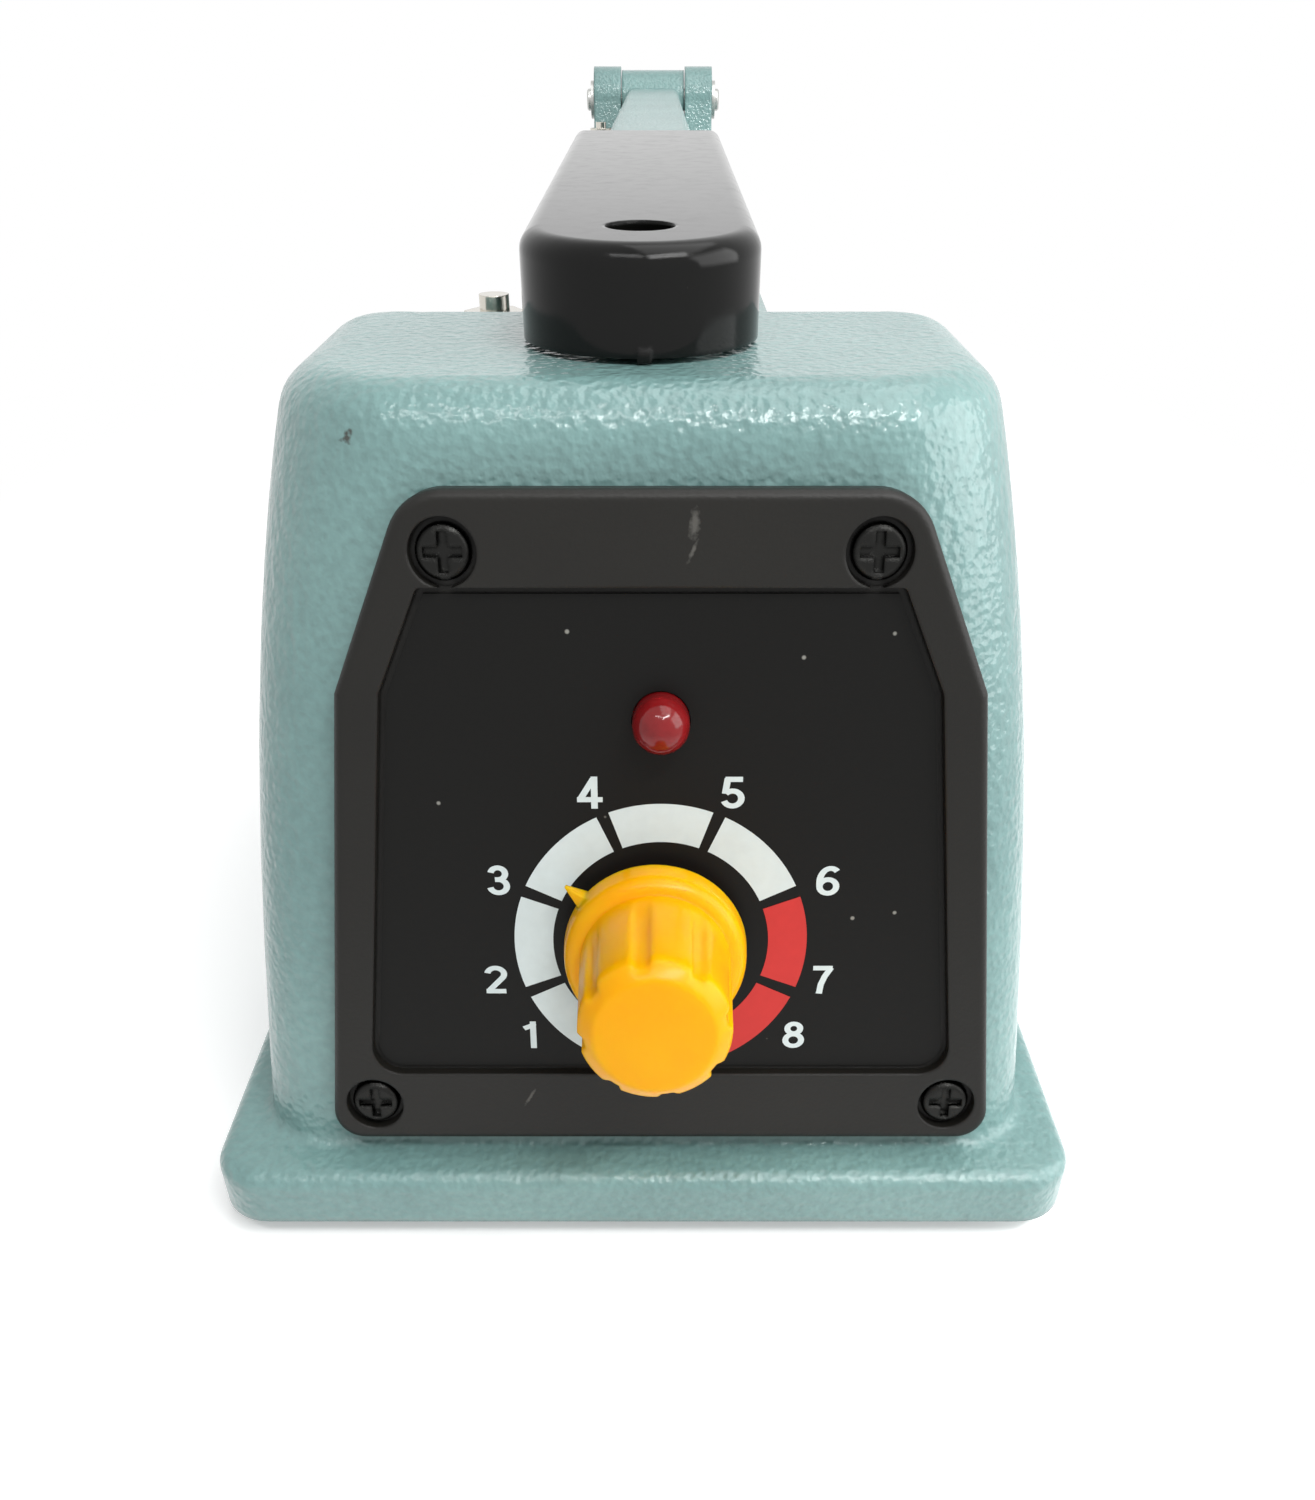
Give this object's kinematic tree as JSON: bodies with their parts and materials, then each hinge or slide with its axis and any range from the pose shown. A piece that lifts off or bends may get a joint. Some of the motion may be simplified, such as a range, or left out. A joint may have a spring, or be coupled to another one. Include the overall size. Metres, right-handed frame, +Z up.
{
  "type": "bag sealer",
  "caption": "Hand impulse bag sealer: cast metal body with a control panel and timer knob, a sealing bar along the beam and a hinged pressing arm with a black handle",
  "frame": {"origin": "bottom centre of the bounding box, on the floor under the rubber feet", "axes": "+X to the right across the control panel, +Y from the control panel to the hinge end, +Z up"},
  "size_m": [0.0884, 0.4408, 0.093],
  "materials": {
    "housing": "hammertone stoving paint on a metal casting",
    "base_plate": "painted steel sheet",
    "base_screws": "zinc plated steel",
    "rubber_feet": "black moulded rubber",
    "control_panel": "black fine textured moulded plastic",
    "dial_label": "black printed plastic sheet",
    "panel_screws": "blackened steel, cross recess",
    "indicator_lamp": "red clear epoxy",
    "timer_control": "plated steel can and bushing",
    "timer_nut": "nickel plated nut",
    "timer_shaft": "turned aluminium",
    "timer_knob": "yellow orange moulded plastic",
    "circuit_board": "green laminate board",
    "relay": "blue moulded case",
    "timing_capacitor": "sleeved aluminium can",
    "push_rod": "white nylon rod",
    "microswitch": "black moulded case",
    "switch_bracket": "zinc plated sheet",
    "transformer_core": "varnished steel laminations",
    "transformer_winding": "taped copper winding",
    "transformer_strap": "zinc plated sheet",
    "transformer_screws": "zinc plated steel",
    "sealing_bar": "extruded aluminium",
    "bar_screws": "zinc plated steel",
    "insulating_strip": "woven glass strip",
    "heating_element": "nickel chromium ribbon",
    "cover_cloth": "brown coated glass cloth",
    "cloth_clamps": "mill finish aluminium strip",
    "clamp_screws": "zinc plated steel",
    "terminal_blocks": "brown moulded phenolic plastic",
    "terminal_straps": "brass strip",
    "terminal_screws": "zinc plated steel",
    "supply_studs": "bright nickel plated studs and nuts",
    "pressing_arm": "hammertone stoving paint on a metal casting",
    "pressure_pad": "red brown silicone rubber",
    "handle": "glossy black moulded plastic",
    "handle_screw": "plated steel",
    "hinge_pin": "ground steel",
    "pin_clips": "spring steel",
    "return_spring": "spring steel wire",
    "cord_gland": "black moulded nylon",
    "gland_nut": "black moulded nylon"
  },
  "bodies": {
    "base": {"housing": "housing", "base_plate": "base_plate", "base_screws": "base_screws", "rubber_feet": "rubber_feet", "control_panel": "control_panel", "dial_label": "dial_label", "panel_screws": "panel_screws", "indicator_lamp": "indicator_lamp", "timer_control": "timer_control", "timer_nut": "timer_nut", "circuit_board": "circuit_board", "relay": "relay", "timing_capacitor": "timing_capacitor", "microswitch": "microswitch", "switch_bracket": "switch_bracket", "transformer_core": "transformer_core", "transformer_winding": "transformer_winding", "transformer_strap": "transformer_strap", "transformer_screws": "transformer_screws", "sealing_bar": "sealing_bar", "bar_screws": "bar_screws", "insulating_strip": "insulating_strip", "heating_element": "heating_element", "cover_cloth": "cover_cloth", "cloth_clamps": "cloth_clamps", "clamp_screws": "clamp_screws", "terminal_blocks": "terminal_blocks", "terminal_straps": "terminal_straps", "terminal_screws": "terminal_screws", "supply_studs": "supply_studs", "hinge_pin": "hinge_pin", "pin_clips": "pin_clips", "return_spring": "return_spring", "cord_gland": "cord_gland", "gland_nut": "gland_nut"},
    "arm": {"pressing_arm": "pressing_arm", "pressure_pad": "pressure_pad", "handle": "handle", "handle_screw": "handle_screw"},
    "knob": {"timer_knob": "timer_knob", "timer_shaft": "timer_shaft"},
    "rod": {"push_rod": "push_rod"}
  },
  "joints": [
    {"name": "arm_hinge", "type": "hinge", "parent": "base", "child": "arm", "pos_m": [0, 0.199, 0.084], "axis": [-1, 0, 0], "range_deg": [0, 25], "deforming": ["return_spring"]},
    {"name": "timer_knob_turn", "type": "hinge", "parent": "base", "child": "knob", "pos_m": [0.0013, -0.201, 0.033], "axis": [0, -0.9833, 0.1822], "range_deg": [-202, 98]},
    {"name": "push_rod_slide", "type": "slide", "parent": "base", "child": "rod", "axis": [0, 0, 1], "range_m": [-0.002, 0], "stiffness_N_per_m": 300}
  ]
}
